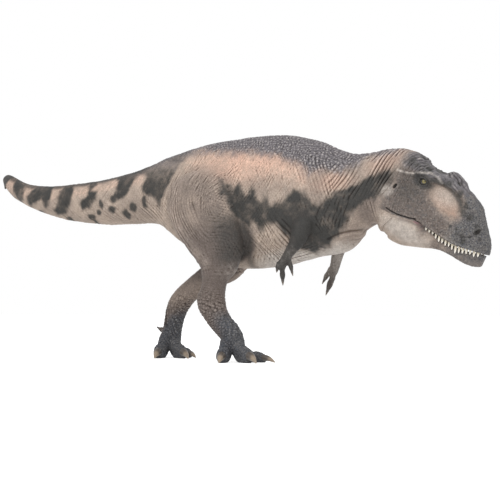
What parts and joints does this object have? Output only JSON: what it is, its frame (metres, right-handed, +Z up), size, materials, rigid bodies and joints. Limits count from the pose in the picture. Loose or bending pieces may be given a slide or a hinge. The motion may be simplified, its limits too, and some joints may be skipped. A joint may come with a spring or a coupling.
{
  "type": "toy dinosaur figure",
  "caption": "Collector's figure of a large two-legged predatory dinosaur in mid-stride, moulded in painted soft vinyl, with a hinged lower jaw.",
  "frame": {"origin": "on the floor, under the middle of the figure's bounding box", "axes": "+X forward, from tail to head; +Y to the animal's left; +Z up"},
  "size_m": [0.3612, 0.0906, 0.1339],
  "materials": {
    "flank_vinyl": "painted soft vinyl, matt",
    "tail_vinyl": "painted soft vinyl, matt",
    "head_vinyl": "painted soft vinyl, matt",
    "jaw_vinyl": "painted soft vinyl, matt",
    "leg_vinyl": "painted soft vinyl, matt",
    "foot_vinyl": "painted vinyl, satin claws",
    "arm_vinyl": "painted vinyl, satin claws",
    "ivory_plastic": "painted ivory, satin",
    "mouth_vinyl": "painted, glossy",
    "eye_plastic": "painted, high gloss",
    "turned_steel": "turned"
  },
  "bodies": {
    "figure": {"trunk_left_shell": "flank_vinyl", "trunk_right_shell": "flank_vinyl", "tail": "tail_vinyl", "balance_weight": "turned_steel", "head": "head_vinyl", "jaw_hinge_pin": "turned_steel", "upper_tooth_row": "ivory_plastic", "palate": "mouth_vinyl", "right_eye": "eye_plastic", "left_eye": "eye_plastic", "right_leg": "leg_vinyl", "right_foot": "foot_vinyl", "left_leg": "leg_vinyl", "left_foot": "foot_vinyl", "right_arm": "arm_vinyl", "left_arm": "arm_vinyl"},
    "jaw": {"lower_jaw": "jaw_vinyl", "lower_tooth_row": "ivory_plastic", "tongue": "mouth_vinyl"}
  },
  "joints": [
    {"name": "jaw_hinge", "type": "hinge", "parent": "figure", "child": "jaw", "pos_m": [0.1277, 0.00632, 0.08282], "axis": [0, 1, 0], "range_deg": [0, 26]}
  ]
}
